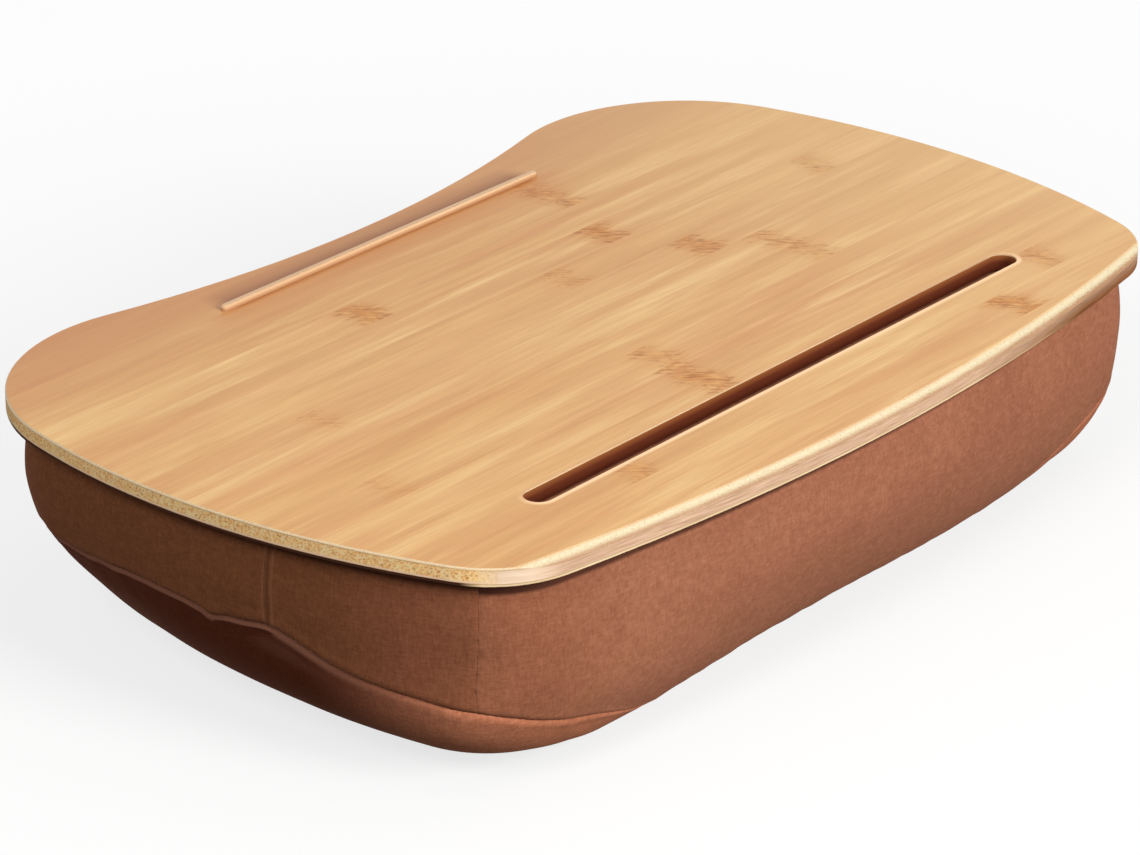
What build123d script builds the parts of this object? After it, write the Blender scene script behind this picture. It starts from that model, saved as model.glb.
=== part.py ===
from build123d import *
from math import atan2, cos, hypot, pi, sin, sqrt
import os

# A lap tray: a three-ply bamboo board with a tablet slot and a stop ledge,
# held by hook-and-loop strips on a sewn cushion with a crowned underside.
# X runs along the length, the user sits towards -Y, and Z = 0 is the surface it rests on.

# Board plan
tray_width = 520.0
tray_depth = 333.0
hollow_depth = 21.0
shoulder_radius = 87.0
end_radius = 377.0
corner_radius = 48.0
front_radius = 1165.0
widest_setback = 14.0

# Board layers
top_veneer_thickness = 1.0
core_thickness = 6.0
bottom_veneer_thickness = 1.0
rim_chamfer = 0.5
bevel_width = 6.0
bevel_drop = 2.2
bevel_overrun = 30.0

# Tablet slot
slot_length = 340.0
slot_width = 13.2
slot_setback = 62.4

# Stop ledge
ledge_length = 215.0
ledge_width = 4.0
ledge_height = 2.4
ledge_chamfer = 0.8
ledge_setback = 39.4
groove_depth = 0.6
groove_clearance = 0.1

# Hook-and-loop strips
strip_length = 100.0
strip_width = 25.0
hook_thickness = 1.0
loop_thickness = 1.0
strip_spacing_x = 280.0
strip_spacing_y = 130.0
strip_centre_setback = 6.0

# Cushion
cushion_height = 100.0
cushion_setback = 6.5
rest_length = 311.0
rest_depth = 146.0
rest_setback = 56.5
fabric_thickness = 1.2
fill_clearance = 0.3

# Cushion sections from the base up, as shares of the cushion height and of the three draws
section_height_shares = (
    0.0, 0.02, 0.05, 0.09, 0.14, 0.20, 0.28, 0.38, 0.50, 0.62, 0.74, 0.93, 1.0,
)
front_draw_shares = (
    1.0, 0.83, 0.68, 0.56, 0.44, 0.345, 0.25, 0.165, 0.085, 0.025, 0.0, 0.04, 0.12,
)
end_draw_shares = (
    1.0, 0.74, 0.57, 0.42, 0.30, 0.205, 0.12, 0.06, 0.022, 0.006, 0.0, 0.02, 0.057,
)
rear_draw_shares = (
    1.0, 0.90, 0.81, 0.72, 0.625, 0.53, 0.42, 0.30, 0.13, 0.02, 0.0, 0.015, 0.045,
)

# Change of the plan towards the base, where a draw is whole
shoulder_shrink_share = 0.4
front_flatten_share = 0.8
widest_lead_share = 0.9

# Seams of the cover
corner_seam_inset = 36.0
corner_seam_setback = 42.5
end_seam_inset = 11.0
end_seam_setback = 135.5
rear_seam_height = 55.5
middle_seam_height = 40.5
front_seam_height = 12.0
rear_bend_setback = 128.5
middle_bend_setback = 88.5
corner_bend_setback = 37.5
front_bend_setback = 28.5
seam_bend_radius = 14.0

# Running past a face, for every cut
overrun = 5.0

# Heights of the stack
bottom_veneer_base = cushion_height + loop_thickness + hook_thickness
core_base = bottom_veneer_base + bottom_veneer_thickness
top_veneer_base = core_base + core_thickness
board_top = top_veneer_base + top_veneer_thickness
slot_y = tray_depth / 2 - slot_setback
ledge_y = -tray_depth / 2 + ledge_setback

# How far the cushion draws in between its widest place and the patch that it rests on
front_draw = rest_setback - cushion_setback
end_draw = (tray_width - rest_length) / 2 - cushion_setback
rear_draw = tray_depth - rest_depth - rest_setback - cushion_setback


# Plan outlines

def crossing(centre_a, radius_a, centre_b, radius_b):
    """The right-hand crossing of two circles."""
    dx = centre_b[0] - centre_a[0]
    dy = centre_b[1] - centre_a[1]
    gap = hypot(dx, dy)
    along = (radius_a**2 - radius_b**2 + gap**2) / (2 * gap)
    across = sqrt(radius_a**2 - along**2)
    x = centre_a[0] + along * dx / gap
    y = centre_a[1] + along * dy / gap
    ways = [(x - side * across * dy / gap, y + side * across * dx / gap) for side in (1, -1)]
    return max(ways)


def bearing(centre, point):
    return atan2(point[1] - centre[1], point[0] - centre[0])


def on_circle(centre, radius, angle):
    return (centre[0] + radius * cos(angle), centre[1] + radius * sin(angle))


def tray_outline(shoulder, corner, front_inset=0, end_inset=0, rear_inset=0, flatten_share=0):
    """Face of the tray's plan, drawn in from the board's edge, as eight tangent arcs."""
    half_width = tray_width / 2 - end_inset
    front_y = tray_depth / 2 - front_inset
    rear_y = -tray_depth / 2 + rear_inset
    hollow_y = rear_y + hollow_depth
    end_arc = end_radius - end_inset
    front_arc = (front_radius - front_inset) / (1 - flatten_share)
    widest_y = -widest_setback + widest_lead_share * (rear_inset - front_inset)
    end_centre = (half_width - end_arc, widest_y)
    front_centre = (0, front_y - front_arc)
    shoulder_y = rear_y + shoulder
    reach = end_arc - shoulder
    rise = shoulder_y - end_centre[1]
    shoulder_centre = (end_centre[0] + sqrt(reach**2 - rise**2), shoulder_y)
    corner_centre = crossing(front_centre, front_arc - corner, end_centre, end_arc - corner)
    lift = shoulder_y - hollow_y
    hollow_arc = (shoulder_centre[0]**2 + lift**2 - shoulder**2) / (2 * (shoulder - lift))
    hollow_centre = (0, hollow_y - hollow_arc)

    hollow_turn = bearing(hollow_centre, shoulder_centre)
    shoulder_turn = bearing(end_centre, shoulder_centre)
    corner_turn = bearing(end_centre, corner_centre)
    front_turn = bearing(front_centre, corner_centre)
    half = [
        (shoulder_centre, shoulder, hollow_turn - pi, shoulder_turn),
        (end_centre, end_arc, shoulder_turn, corner_turn),
        (corner_centre, corner, corner_turn, front_turn),
    ]
    right = []
    left = []
    for centre, radius, start, stop in half:
        ends = [on_circle(centre, radius, angle) for angle in (start, (start + stop) / 2, stop)]
        right.append(ThreePointArc(*ends))
        left.insert(0, ThreePointArc(*[(-x, y) for x, y in reversed(ends)]))
    front_start = on_circle(front_centre, front_arc, front_turn)
    hollow_stop = on_circle(hollow_centre, hollow_arc, hollow_turn)
    front = ThreePointArc(front_start, (0, front_y), (-front_start[0], front_start[1]))
    hollow = ThreePointArc((-hollow_stop[0], hollow_stop[1]), (0, hollow_y), hollow_stop)
    return make_face(Wire(right + [front] + left + [hollow]))


def board_outline():
    return tray_outline(shoulder_radius, corner_radius)


# Board

def slot_cut():
    """The through slot, round at both ends."""
    depth = board_top - bottom_veneer_base + 2 * overrun
    slot = extrude(SlotOverall(slot_length, slot_width), depth)
    return Pos(0, slot_y, bottom_veneer_base - overrun) * slot


def front_bevel_cut():
    """Ring sector over the front edge; it runs out by itself round the corners."""
    centre_y = tray_depth / 2 - front_radius
    slope = bevel_drop / bevel_width
    profile = Polyline(
        (front_radius - bevel_width, board_top),
        (front_radius + bevel_overrun, board_top - (bevel_width + bevel_overrun) * slope),
        (front_radius + bevel_overrun, board_top + overrun),
        (front_radius - bevel_width, board_top + overrun),
        close=True,
    )
    face = Plane.XZ * make_face(profile)
    half_turn = atan2(tray_width / 2, front_radius) * 180 / pi
    ring = revolve(face, Axis.Z, 2 * half_turn)
    return Pos(0, centre_y, 0) * Rot(0, 0, 90 - half_turn) * ring


def make_top_veneer():
    veneer = extrude(board_outline(), top_veneer_thickness)
    rim = veneer.faces().sort_by(Axis.Z)[-1].edges()
    veneer = Pos(0, 0, top_veneer_base) * chamfer(rim, rim_chamfer)
    groove = SlotOverall(ledge_length + 2 * groove_clearance, ledge_width + 2 * groove_clearance)
    groove_cut = Pos(0, ledge_y, board_top - groove_depth) * extrude(groove, groove_depth + overrun)
    return veneer - slot_cut() - front_bevel_cut() - groove_cut


def make_core_board():
    core = Pos(0, 0, core_base) * extrude(board_outline(), core_thickness)
    return core - slot_cut() - front_bevel_cut()


def make_bottom_veneer():
    veneer = Pos(0, 0, bottom_veneer_base) * extrude(board_outline(), bottom_veneer_thickness)
    return veneer - slot_cut()


def make_stop_ledge():
    strip = extrude(SlotOverall(ledge_length, ledge_width), groove_depth + ledge_height)
    rim = strip.faces().sort_by(Axis.Z)[-1].edges()
    return Pos(0, ledge_y, board_top - groove_depth) * chamfer(rim, ledge_chamfer)


# Fastening strips

def make_strips(base, thickness):
    """Four strips, two on each half, clear of the slot."""
    strip = Box(strip_length, strip_width, thickness, align=(Align.CENTER, Align.CENTER, Align.MIN))
    places = GridLocations(strip_spacing_x, strip_spacing_y, 2, 2)
    return [Pos(0, -strip_centre_setback, base) * place * strip for place in places]


# Cushion

def cushion_body(skin):
    """The crowned cushion, with every face drawn in by the thickness of a skin."""
    sections = []
    rows = zip(section_height_shares, front_draw_shares, end_draw_shares, rear_draw_shares)
    for height_share, front_share, end_share, rear_share in rows:
        inset = cushion_setback + skin
        face = tray_outline(
            shoulder=(shoulder_radius - inset) * (1 - shoulder_shrink_share * rear_share),
            corner=corner_radius - inset,
            front_inset=inset + front_share * front_draw,
            end_inset=inset + end_share * end_draw,
            rear_inset=inset + rear_share * rear_draw,
            flatten_share=front_flatten_share * front_share,
        )
        height = skin + height_share * (cushion_height - 2 * skin)
        sections.append(Pos(0, 0, height) * face)
    return loft(sections, ruled=True)


def seam_block():
    """Everything below the lower seam: level round the back, dipping towards the front."""
    half_length = tray_width / 2 + overrun
    edge_y = tray_depth / 2
    rear_y = -edge_y - overrun
    front_y = edge_y + overrun
    seam = FilletPolyline(
        (rear_y, rear_seam_height),
        (edge_y - rear_bend_setback, rear_seam_height),
        (edge_y - middle_bend_setback, middle_seam_height),
        (edge_y - corner_bend_setback, middle_seam_height),
        (edge_y - front_bend_setback, front_seam_height),
        (front_y, front_seam_height),
        radius=seam_bend_radius,
    )
    under = Polyline(seam @ 1, (front_y, -overrun), (rear_y, -overrun), seam @ 0)
    return extrude(Plane.YZ * make_face(seam + under), half_length, both=True)


def sector(start, stop):
    """Prism between two rays from the middle of the tray, running anticlockwise."""
    reach = (tray_width + tray_depth) / hypot(*start)
    far_start = (start[0] * reach, start[1] * reach)
    far_stop = (stop[0] * reach, stop[1] * reach)
    wedge = Polyline((0, 0), far_start, far_stop, close=True)
    return Pos(0, 0, -overrun) * extrude(make_face(wedge), cushion_height + 2 * overrun)


def make_cover():
    """The sewn cover, split at its seams."""
    shell = cushion_body(0) - cushion_body(fabric_thickness)
    lid_base = cushion_height - fabric_thickness
    room = Box(tray_width, tray_depth, cushion_height, align=(Align.CENTER, Align.CENTER, Align.MIN))
    top_panel = shell & (Pos(0, 0, lid_base) * room)
    wall = shell - (Pos(0, 0, lid_base) * room)
    bottom_panel = wall & seam_block()
    boxing = wall - seam_block()
    corner_seam_x = tray_width / 2 - corner_seam_inset
    corner_seam_y = tray_depth / 2 - corner_seam_setback
    end_seam_x = tray_width / 2 - end_seam_inset
    end_seam_y = tray_depth / 2 - end_seam_setback
    corner_right = (corner_seam_x, corner_seam_y)
    corner_left = (-corner_seam_x, corner_seam_y)
    end_right = (end_seam_x, end_seam_y)
    end_left = (-end_seam_x, end_seam_y)
    front = sector(corner_right, corner_left)
    right = sector(end_right, corner_right)
    left = sector(corner_left, end_left)
    return {
        "top_panel": top_panel,
        "bottom_panel": bottom_panel,
        "front_boxing": boxing & front,
        "right_boxing": boxing & right,
        "left_boxing": boxing & left,
        "rear_boxing": boxing - front - right - left,
    }


# Assembly

parts = {
    "top_veneer": make_top_veneer(),
    "core_board": make_core_board(),
    "bottom_veneer": make_bottom_veneer(),
    "stop_ledge": make_stop_ledge(),
    "hook_strips": make_strips(bottom_veneer_base - hook_thickness, hook_thickness),
    "loop_strips": make_strips(cushion_height, loop_thickness),
    "cushion_fill": cushion_body(fabric_thickness + fill_clearance),
}
parts.update(make_cover())

os.makedirs("parts", exist_ok=True)
for node, shape in parts.items():
    solids = shape if isinstance(shape, list) else shape.solids()
    export_step(Compound(children=list(solids)), f"parts/{node}.step")
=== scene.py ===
import math
from functools import partialmethod

import bpy
import numpy as np
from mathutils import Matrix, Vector


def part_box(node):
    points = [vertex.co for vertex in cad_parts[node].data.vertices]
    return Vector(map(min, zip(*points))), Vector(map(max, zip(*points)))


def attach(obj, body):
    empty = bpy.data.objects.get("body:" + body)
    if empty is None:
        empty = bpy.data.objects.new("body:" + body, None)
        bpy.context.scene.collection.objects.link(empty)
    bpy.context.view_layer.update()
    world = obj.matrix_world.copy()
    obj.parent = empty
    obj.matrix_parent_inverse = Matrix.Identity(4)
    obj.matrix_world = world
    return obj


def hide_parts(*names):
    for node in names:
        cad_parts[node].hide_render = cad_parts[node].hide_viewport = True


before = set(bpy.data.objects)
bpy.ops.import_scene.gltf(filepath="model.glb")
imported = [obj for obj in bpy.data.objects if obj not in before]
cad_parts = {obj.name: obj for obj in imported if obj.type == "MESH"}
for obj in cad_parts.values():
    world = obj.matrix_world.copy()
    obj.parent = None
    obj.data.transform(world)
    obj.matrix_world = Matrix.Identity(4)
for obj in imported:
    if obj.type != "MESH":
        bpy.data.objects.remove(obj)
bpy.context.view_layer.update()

# Looks of a lap tray: a bamboo board on a sewn cushion. Metres, in the frame's axes.

# Heights and plan read from the frame
board_low, board_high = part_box("bottom_veneer")
TRAY_LENGTH = board_high.x - board_low.x
TRAY_DEPTH = board_high.y - board_low.y
BOARD_BOTTOM = board_low.z
CORE_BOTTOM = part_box("core_board")[0].z
CORE_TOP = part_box("core_board")[1].z
BOARD_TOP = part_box("top_veneer")[1].z
CUSHION_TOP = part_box("top_panel")[1].z
LEDGE_LOW, LEDGE_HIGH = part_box("stop_ledge")

# Plan of the board
HOLLOW_DEPTH = 0.021
SHOULDER_RADIUS = 0.087
END_RADIUS = 0.377
CORNER_RADIUS = 0.048
FRONT_RADIUS = 1.165
WIDEST_SETBACK = 0.014
SLOT_LENGTH = 0.340
SLOT_WIDTH = 0.0132
SLOT_SETBACK = 0.0624
SLOT_Y = board_high.y - SLOT_SETBACK

# Cushion
CUSHION_SETBACK = 0.0065
REST_LENGTH = 0.311
REST_DEPTH = 0.146
REST_SETBACK = 0.0565
FRONT_DRAW = REST_SETBACK - CUSHION_SETBACK
END_DRAW = (TRAY_LENGTH - REST_LENGTH) / 2 - CUSHION_SETBACK
REAR_DRAW = TRAY_DEPTH - REST_DEPTH - REST_SETBACK - CUSHION_SETBACK
CLOTH_THICKNESS = 0.0011

# Cushion sections from the base up, as shares of its height and of the three draws
HEIGHT_SHARES = (0.0, 0.02, 0.05, 0.09, 0.14, 0.20, 0.28, 0.38, 0.50, 0.62, 0.74, 0.93, 1.0)
FRONT_SHARES = (1.0, 0.83, 0.68, 0.56, 0.44, 0.345, 0.25, 0.165, 0.085, 0.025, 0.0, 0.04, 0.12)
END_SHARES = (1.0, 0.74, 0.57, 0.42, 0.30, 0.205, 0.12, 0.06, 0.022, 0.006, 0.0, 0.02, 0.057)
REAR_SHARES = (1.0, 0.90, 0.81, 0.72, 0.625, 0.53, 0.42, 0.295, 0.127, 0.026, 0.0, 0.015, 0.045)
SHOULDER_SHRINK = 0.4
FRONT_FLATTEN = 0.8
WIDEST_LEAD = 0.9

# Seams, placed by the length along the board's outline from the middle of the hollow
END_SEAM = 0.4160
CORNER_SEAM = 0.5165
SEAM_LENGTHS = (
    0.0, 0.280, 0.311, 0.330, 0.345, 0.360, 0.3785, 0.3825, 0.3925, 0.403, 0.4145,
    0.4195, 0.4255, 0.4345, 0.442, 0.4495, 0.4635, 0.4745, 0.4945, 0.5130, 0.5235,
    0.536, 0.5505, 0.5645, 0.578, 0.590, 0.603, 0.620, 0.660, 0.770,
)
SEAM_HEIGHTS = (
    0.0545, 0.0565, 0.0585, 0.0600, 0.0605, 0.0600, 0.0581, 0.0562, 0.0583, 0.0593, 0.0606,
    0.0600, 0.0585, 0.0554, 0.0527, 0.0503, 0.0475, 0.0461, 0.0443, 0.0418, 0.0396,
    0.0368, 0.0328, 0.0294, 0.0259, 0.0217, 0.0150, 0.0105, 0.0085, 0.0080,
)
# How far round the corner the upright corner seam leans at its foot, and over which stretch
CORNER_LEAN = 0.0105
CORNER_REACH = 0.060
LEAN_TOP = 0.070
LEAN_FOOT = 0.041

# The stuffing's unevenness: how far the lower cushion stands out or in, by length along the outline
SWELL_LENGTHS = (
    0.0, 0.215, 0.290, 0.330, 0.400, 0.430, 0.530, 0.550, 0.573, 0.606, 0.640, 0.668,
    0.700, 0.755, 0.790, 0.826, 0.881, 0.923, 0.953, 1.000, 1.530,
)
SWELLS = (
    0.0, 0.0, -0.0014, -0.0007, -0.0004, 0.0, 0.0005, 0.0017, 0.0034, 0.0034, 0.0019, 0.0004,
    -0.0009, -0.0011, -0.0004, 0.0006, 0.0017, 0.0012, 0.0, 0.0, 0.0,
)
SWELL_FULL = 0.030
SWELL_NONE = 0.068

# Mesh steps
COLUMN_STEP = 0.003
ROW_STEP = 0.0032
NEAR_SEAM = (0.0004, 0.0009, 0.0015, 0.0022, 0.0031, 0.0042, 0.0056, 0.0074)
NEAR_SEAM_GAP = 0.0008
SIM_COLUMNS = 240
SIM_BOXING_ROWS = 12
SIM_BOTTOM_ROWS = 22
PROFILE_STEPS = 140
REST_RINGS = (0.94, 0.86, 0.76, 0.64, 0.52, 0.40, 0.28, 0.18)
LID_RINGS = (1.0, 0.97, 0.93, 0.85, 0.72, 0.58, 0.44, 0.30)
TINY = 1e-12

# Turned seams: groove and lip, and how much of them the upright seams have, from right to left
GROOVE_DEPTH = 0.0011
GROOVE_REACH = 0.0020
LIP_HEIGHT = 0.00025
LIP_PLACE = 0.0034
LIP_WIDTH = 0.0018
SEAM_SHARES = (0.50, 0.14, 0.14, 0.14)
UPRIGHT_FADE = 0.012

# Rolled edges under the lower seam: start and its fade, stop and its fade, share of the height
ROLLS = ((0.386, 0.003, 0.421, 0.006, 1.0), (0.312, 0.012, 0.380, 0.004, 0.55))
ROLL_HEIGHT = 0.0011
ROLL_PLACE = 0.0013
ROLL_WIDTH = 0.0009

# Puckers beside the lower seam
PUCKER_SEED = 7
PUCKER_WAVES = 9
PUCKER_LENGTHS = (0.012, 0.030)
PUCKER_HEIGHT = 0.00018
PUCKER_REACH = 0.010
PUCKER_CLEAR = 0.002

# Cloth simulation
CLOTH_FRAMES = 20
CLOTH_CAP = 0.0035
CAP_GUARD = 1e-9
EASE_PASSES = 4
CLOTH_SETTINGS = dict(
    quality=6, mass=0.25, tension_stiffness=18, compression_stiffness=18, shear_stiffness=8,
    bending_stiffness=1.2, use_pressure=True, uniform_pressure_force=4.0,
    vertex_group_mass="pinned", vertex_group_shrink="shrunk", shrink_min=0.0, shrink_max=0.004,
)

# Camera at the photograph's angle
VIEW_AZIMUTH = math.radians(129.87)
VIEW_ELEVATION = math.radians(24.51)
VIEW_TARGET = Vector((0.1043, 0.0713, BOARD_TOP))
VIEW_DISTANCE = 1.967
FOCAL_PIXELS = 4690.0
PICTURE_WIDTH = 1140.0
SENSOR_WIDTH = 36.0
CLIP_END = 50.0


# Plan outline

def crossing(centre_a, radius_a, centre_b, radius_b):
    """The right-hand crossing of two circles."""
    step = centre_b - centre_a
    gap = np.hypot(*step)
    along = (radius_a**2 - radius_b**2 + gap**2) / (2 * gap)
    across = math.sqrt(radius_a**2 - along**2)
    middle = centre_a + along * step / gap
    side = across * np.array([-step[1], step[0]]) / gap
    return max((middle - side, middle + side), key=lambda point: point[0])


def bearing(centre, point):
    return math.atan2(point[1] - centre[1], point[0] - centre[0])


def tray_arcs(shoulder, corner, front_inset=0.0, end_inset=0.0, rear_inset=0.0, flatten=0.0):
    """Centre, radius, start and stop of the five arcs of the right half, hollow to front."""
    half_length = TRAY_LENGTH / 2 - end_inset
    front_y = TRAY_DEPTH / 2 - front_inset
    rear_y = -TRAY_DEPTH / 2 + rear_inset
    end_arc = END_RADIUS - end_inset
    front_arc = (FRONT_RADIUS - front_inset) / (1 - flatten)
    widest_y = -WIDEST_SETBACK + WIDEST_LEAD * (rear_inset - front_inset)
    end_centre = np.array([half_length - end_arc, widest_y])
    front_centre = np.array([0.0, front_y - front_arc])
    shoulder_y = rear_y + shoulder
    reach = math.sqrt((end_arc - shoulder)**2 - (shoulder_y - widest_y)**2)
    shoulder_centre = np.array([end_centre[0] + reach, shoulder_y])
    corner_centre = crossing(front_centre, front_arc - corner, end_centre, end_arc - corner)
    lift = shoulder - HOLLOW_DEPTH
    hollow_arc = (shoulder_centre[0]**2 + lift**2 - shoulder**2) / (2 * (shoulder - lift))
    hollow_centre = np.array([0.0, rear_y + HOLLOW_DEPTH - hollow_arc])
    hollow_turn = bearing(hollow_centre, shoulder_centre)
    shoulder_turn = bearing(end_centre, shoulder_centre)
    corner_turn = bearing(end_centre, corner_centre)
    front_turn = bearing(front_centre, corner_centre)
    return (
        (hollow_centre, hollow_arc, math.pi / 2, hollow_turn),
        (shoulder_centre, shoulder, hollow_turn - math.pi, shoulder_turn),
        (end_centre, end_arc, shoulder_turn, corner_turn),
        (corner_centre, corner, corner_turn, front_turn),
        (front_centre, front_arc, front_turn, math.pi / 2),
    )


ARCS = 5


def on_outline(arcs, stations):
    """Points of an outline. A station counts arcs: 0 mid hollow, 5 mid front, 10 mid hollow again."""
    folded = np.where(stations > ARCS, 2 * ARCS - stations, stations)
    index = np.clip(folded.astype(int), 0, ARCS - 1)
    part = folded - index
    centre, radius, start, stop = (np.array(values)[index] for values in zip(*arcs))
    angle = start + part * (stop - start)
    x = centre[:, 0] + radius * np.cos(angle)
    y = centre[:, 1] + radius * np.sin(angle)
    return np.stack([np.where(stations > ARCS, -x, x), y], axis=1)


def smooth_through(xs, ys, at):
    """Monotone cubic through the points (xs, ys), read at the places in at."""
    xs, ys = np.array(xs, float), np.array(ys, float)
    step = np.diff(xs)
    slope = np.diff(ys) / step
    tangent = np.zeros(len(xs))
    same_way = slope[:-1] * slope[1:] > 0
    weight_a = 2 * step[1:] + step[:-1]
    weight_b = step[1:] + 2 * step[:-1]
    safe = np.where(same_way, slope[:-1] * slope[1:], 1.0)
    mean = (weight_a + weight_b) * safe / (weight_a * slope[1:] + weight_b * slope[:-1] + TINY)
    tangent[1:-1] = np.where(same_way, mean, 0.0)
    tangent[0], tangent[-1] = slope[0], slope[-1]
    index = np.clip(np.searchsorted(xs, at) - 1, 0, len(xs) - 2)
    t = (at - xs[index]) / step[index]
    a, b = ys[index], ys[index + 1]
    ta, tb = tangent[index] * step[index], tangent[index + 1] * step[index]
    return (
        a * (2 * t**3 - 3 * t**2 + 1)
        + ta * (t**3 - 2 * t**2 + t)
        + b * (3 * t**2 - 2 * t**3)
        + tb * (t**3 - t**2)
    )


BOARD_ARCS = tray_arcs(SHOULDER_RADIUS, CORNER_RADIUS)
ARC_LENGTHS = [abs(radius * (stop - start)) for centre, radius, start, stop in BOARD_ARCS]
STATION_LENGTHS = np.cumsum([0.0] + ARC_LENGTHS + ARC_LENGTHS[::-1])
OUTLINE_LENGTH = STATION_LENGTHS[-1]


def station_at(length):
    """Station at a length along the board's outline from the hollow's middle."""
    return np.interp(np.mod(length, OUTLINE_LENGTH), STATION_LENGTHS, np.arange(2 * ARCS + 1))


# Cushion surface

def from_hollow(lengths):
    """Length to the middle of the hollow by the shorter way round."""
    return np.minimum(lengths, OUTLINE_LENGTH - lengths)


def leaning(lengths, height):
    """Lengths moved round the corner, so that the corner seam falls plumb."""
    way = np.where(lengths > OUTLINE_LENGTH / 2, -1.0, 1.0)
    near = np.clip(1 - np.abs(from_hollow(lengths) - CORNER_SEAM) / CORNER_REACH, 0, 1)
    drop = np.clip((LEAN_TOP - height) / (LEAN_TOP - LEAN_FOOT), 0, 1)
    return lengths + way * CORNER_LEAN * (3 - 2 * near) * near**2 * drop**2


def profiles(lengths):
    """Lines down the cushion's side at these lengths, from the top rim to the resting patch."""
    shares = (0.5 - 0.5 * np.cos(np.linspace(0, math.pi, PROFILE_STEPS)))[::-1]
    tables = (FRONT_SHARES, END_SHARES, REAR_SHARES)
    front, end, rear = (smooth_through(HEIGHT_SHARES, table, shares) for table in tables)
    lines = np.zeros((PROFILE_STEPS, len(lengths), 3))
    for k, share in enumerate(shares):
        arcs = tray_arcs(
            shoulder=(SHOULDER_RADIUS - CUSHION_SETBACK) * (1 - SHOULDER_SHRINK * rear[k]),
            corner=CORNER_RADIUS - CUSHION_SETBACK,
            front_inset=CUSHION_SETBACK + front[k] * FRONT_DRAW,
            end_inset=CUSHION_SETBACK + end[k] * END_DRAW,
            rear_inset=CUSHION_SETBACK + rear[k] * REAR_DRAW,
            flatten=FRONT_FLATTEN * front[k],
        )
        height = share * CUSHION_TOP
        lines[k, :, :2] = on_outline(arcs, station_at(leaning(lengths, height)))
        lines[k, :, 2] = height
    return lines


def panel_lines(lengths):
    """Profiles with their running lengths, and the length at which each meets the lower seam."""
    count = len(lengths)
    lines = profiles(lengths)
    steps = np.linalg.norm(np.diff(lines, axis=0), axis=2)
    running = np.concatenate([np.zeros((1, count)), np.cumsum(steps, axis=0)])
    heights = smooth_through(SEAM_LENGTHS, SEAM_HEIGHTS, from_hollow(lengths))
    seam = np.array([np.interp(-heights[c], -lines[:, c, 2], running[:, c]) for c in range(count)])
    return lines, running, seam


def read_lines(lines, lengths, wanted):
    """Points of each column's profile at the wanted lengths."""
    out = np.zeros(wanted.shape + (3,))
    for c in range(wanted.shape[1]):
        for axis in range(3):
            out[:, c, axis] = np.interp(wanted[:, c], lengths[:, c], lines[:, c, axis])
    return out


def grid_normals(points):
    """Outward normals of a grid whose columns close on themselves."""
    down = np.gradient(points, axis=0)
    along = np.roll(points, -1, axis=1) - np.roll(points, 1, axis=1)
    normal = np.cross(down, along)
    return normal / (np.linalg.norm(normal, axis=2, keepdims=True) + TINY)


# Cloth simulation of the cover

def mesh_object(name, points, faces):
    mesh = bpy.data.meshes.new(name)
    mesh.from_pydata(points.tolist(), [], faces)
    mesh.update()
    mesh.validate()
    piece = bpy.data.objects.new(name, mesh)
    bpy.context.scene.collection.objects.link(piece)
    return piece


def row_points(columns, row):
    return tuple(row * columns + c for c in range(columns))


def grid_faces(columns, first_row, last_row, start=0, stop=0):
    """Quads between rows of a closed grid, from column start round to column stop."""
    faces = []
    span = (stop - start) % columns or columns
    for r in range(first_row, last_row):
        for c in range(start, start + span):
            a, b = r * columns + c % columns, r * columns + (c + 1) % columns
            faces.append((a, a + columns, b + columns, b))
    return faces


def simulated_shift(seam_columns):
    """How the stuffed cover bulges between its seams: a shift at each point of a coarse grid."""
    lines, lengths, seam = panel_lines(np.arange(SIM_COLUMNS) * OUTLINE_LENGTH / SIM_COLUMNS)
    boxing = np.linspace(0, 1, SIM_BOXING_ROWS + 1)[:, None] * seam
    under = np.linspace(0, 1, SIM_BOTTOM_ROWS + 1)[1:, None] * (lengths[-1] - seam)
    wanted = np.concatenate([boxing, seam + under])
    points = read_lines(lines, lengths, wanted)
    rows = len(wanted)
    first, lower, last = (row_points(SIM_COLUMNS, r) for r in (0, SIM_BOXING_ROWS, rows - 1))
    faces = grid_faces(SIM_COLUMNS, 0, rows - 1) + [first[::-1], last]
    body = mesh_object("cover_simulation", points.reshape(-1, 3), faces)
    upright = tuple(r * SIM_COLUMNS + c for r in range(SIM_BOXING_ROWS) for c in seam_columns)
    for group, members in (("pinned", first + last), ("shrunk", lower + upright)):
        body.vertex_groups.new(name=group).add(members, 1.0, "REPLACE")
    settings = body.modifiers.new("cloth", "CLOTH").settings
    for key, value in CLOTH_SETTINGS.items():
        setattr(settings, key, value)
    settings.effector_weights.gravity = 0.0
    scene = bpy.context.scene
    for number in range(1, CLOTH_FRAMES + 1):
        scene.frame_set(number)
    settled = body.evaluated_get(bpy.context.evaluated_depsgraph_get())
    after = np.zeros(rows * SIM_COLUMNS * 3)
    settled.data.vertices.foreach_get("co", after)
    scene.frame_set(1)
    shift = after.reshape(points.shape) - points
    bpy.data.objects.remove(body)
    size = np.linalg.norm(shift, axis=2, keepdims=True)
    shift *= np.minimum(1, CLOTH_CAP / (size + CAP_GUARD))
    for _ in range(EASE_PASSES):
        shift = (np.roll(shift, 1, axis=1) + 2 * shift + np.roll(shift, -1, axis=1)) / 4
        shift[1:-1] = (shift[:-2] + 2 * shift[1:-1] + shift[2:]) / 4
    return shift


def spline_weights(t):
    """Shares of the four neighbours in a cubic spline, between the second and the third."""
    return (
        (1 - t)**3 / 6,
        (3 * t**3 - 6 * t**2 + 4) / 6,
        (1 + 3 * t + 3 * t**2 - 3 * t**3) / 6,
        t**3 / 6,
    )


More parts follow.
